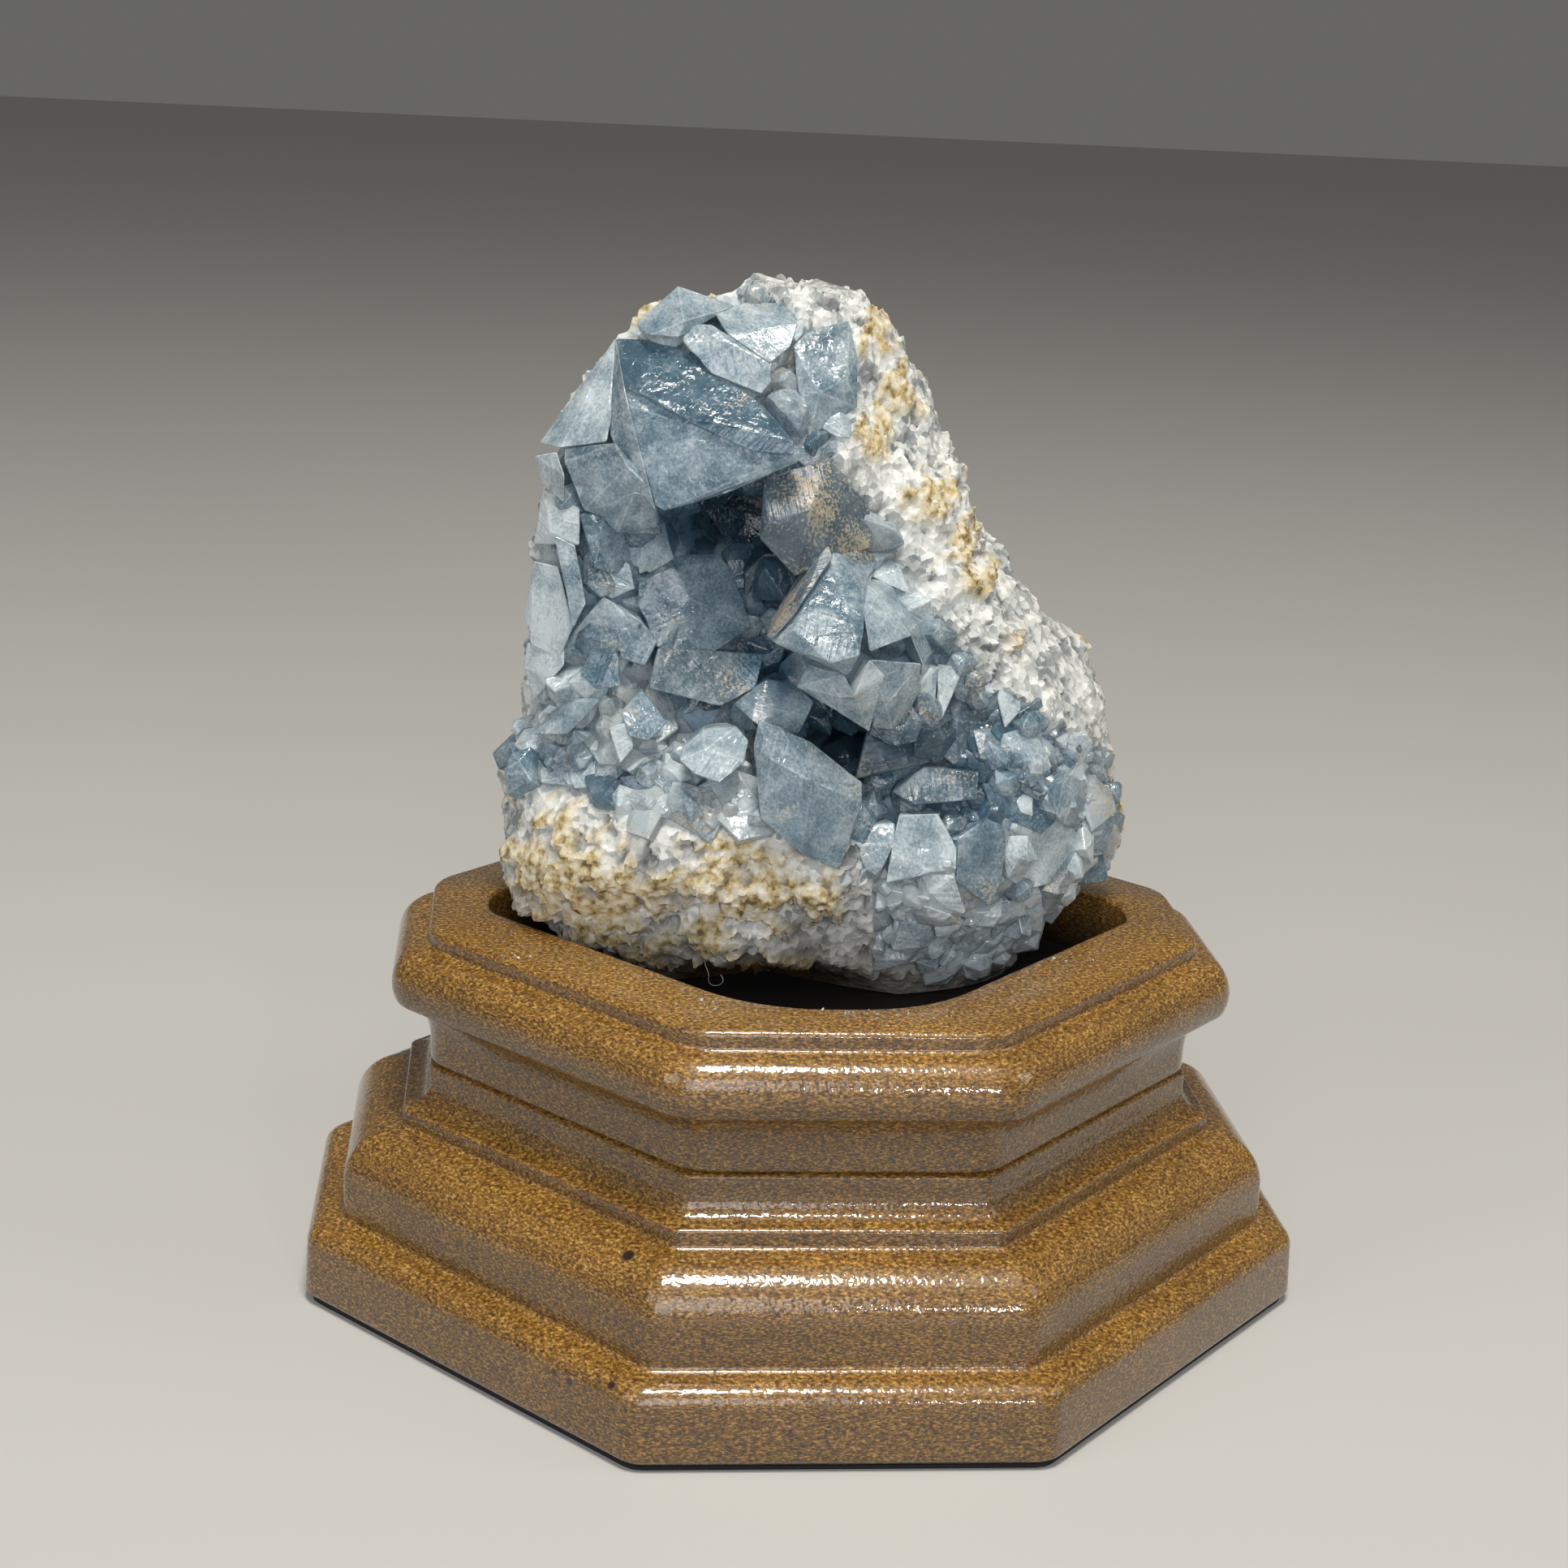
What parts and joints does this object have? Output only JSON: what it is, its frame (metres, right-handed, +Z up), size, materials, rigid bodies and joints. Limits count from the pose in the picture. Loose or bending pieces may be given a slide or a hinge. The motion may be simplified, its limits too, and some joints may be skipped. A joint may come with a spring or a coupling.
{
  "type": "celestite cluster on a display stand",
  "caption": "Upright piece of a celestite geode, its hollow lined with pale blue crystals, standing in the routed well of a moulded wooden stand.",
  "frame": {"origin": "centre of the stand's underside, on the surface that it stands on", "axes": "+Z up, the hollow with the crystals faces -Y, +X to the right as seen from the front"},
  "size_m": [0.13, 0.1168, 0.1304],
  "materials": {
    "felt": "matte",
    "lacquered_board": "gloss",
    "rind": "rough",
    "celestite": "gloss"
  },
  "bodies": {
    "root": {"felt_pad": "felt", "stand_lower_board": "lacquered_board", "stand_upper_board": "lacquered_board", "geode_rind": "rind", "crystal_crust": "celestite"}
  },
  "joints": []
}
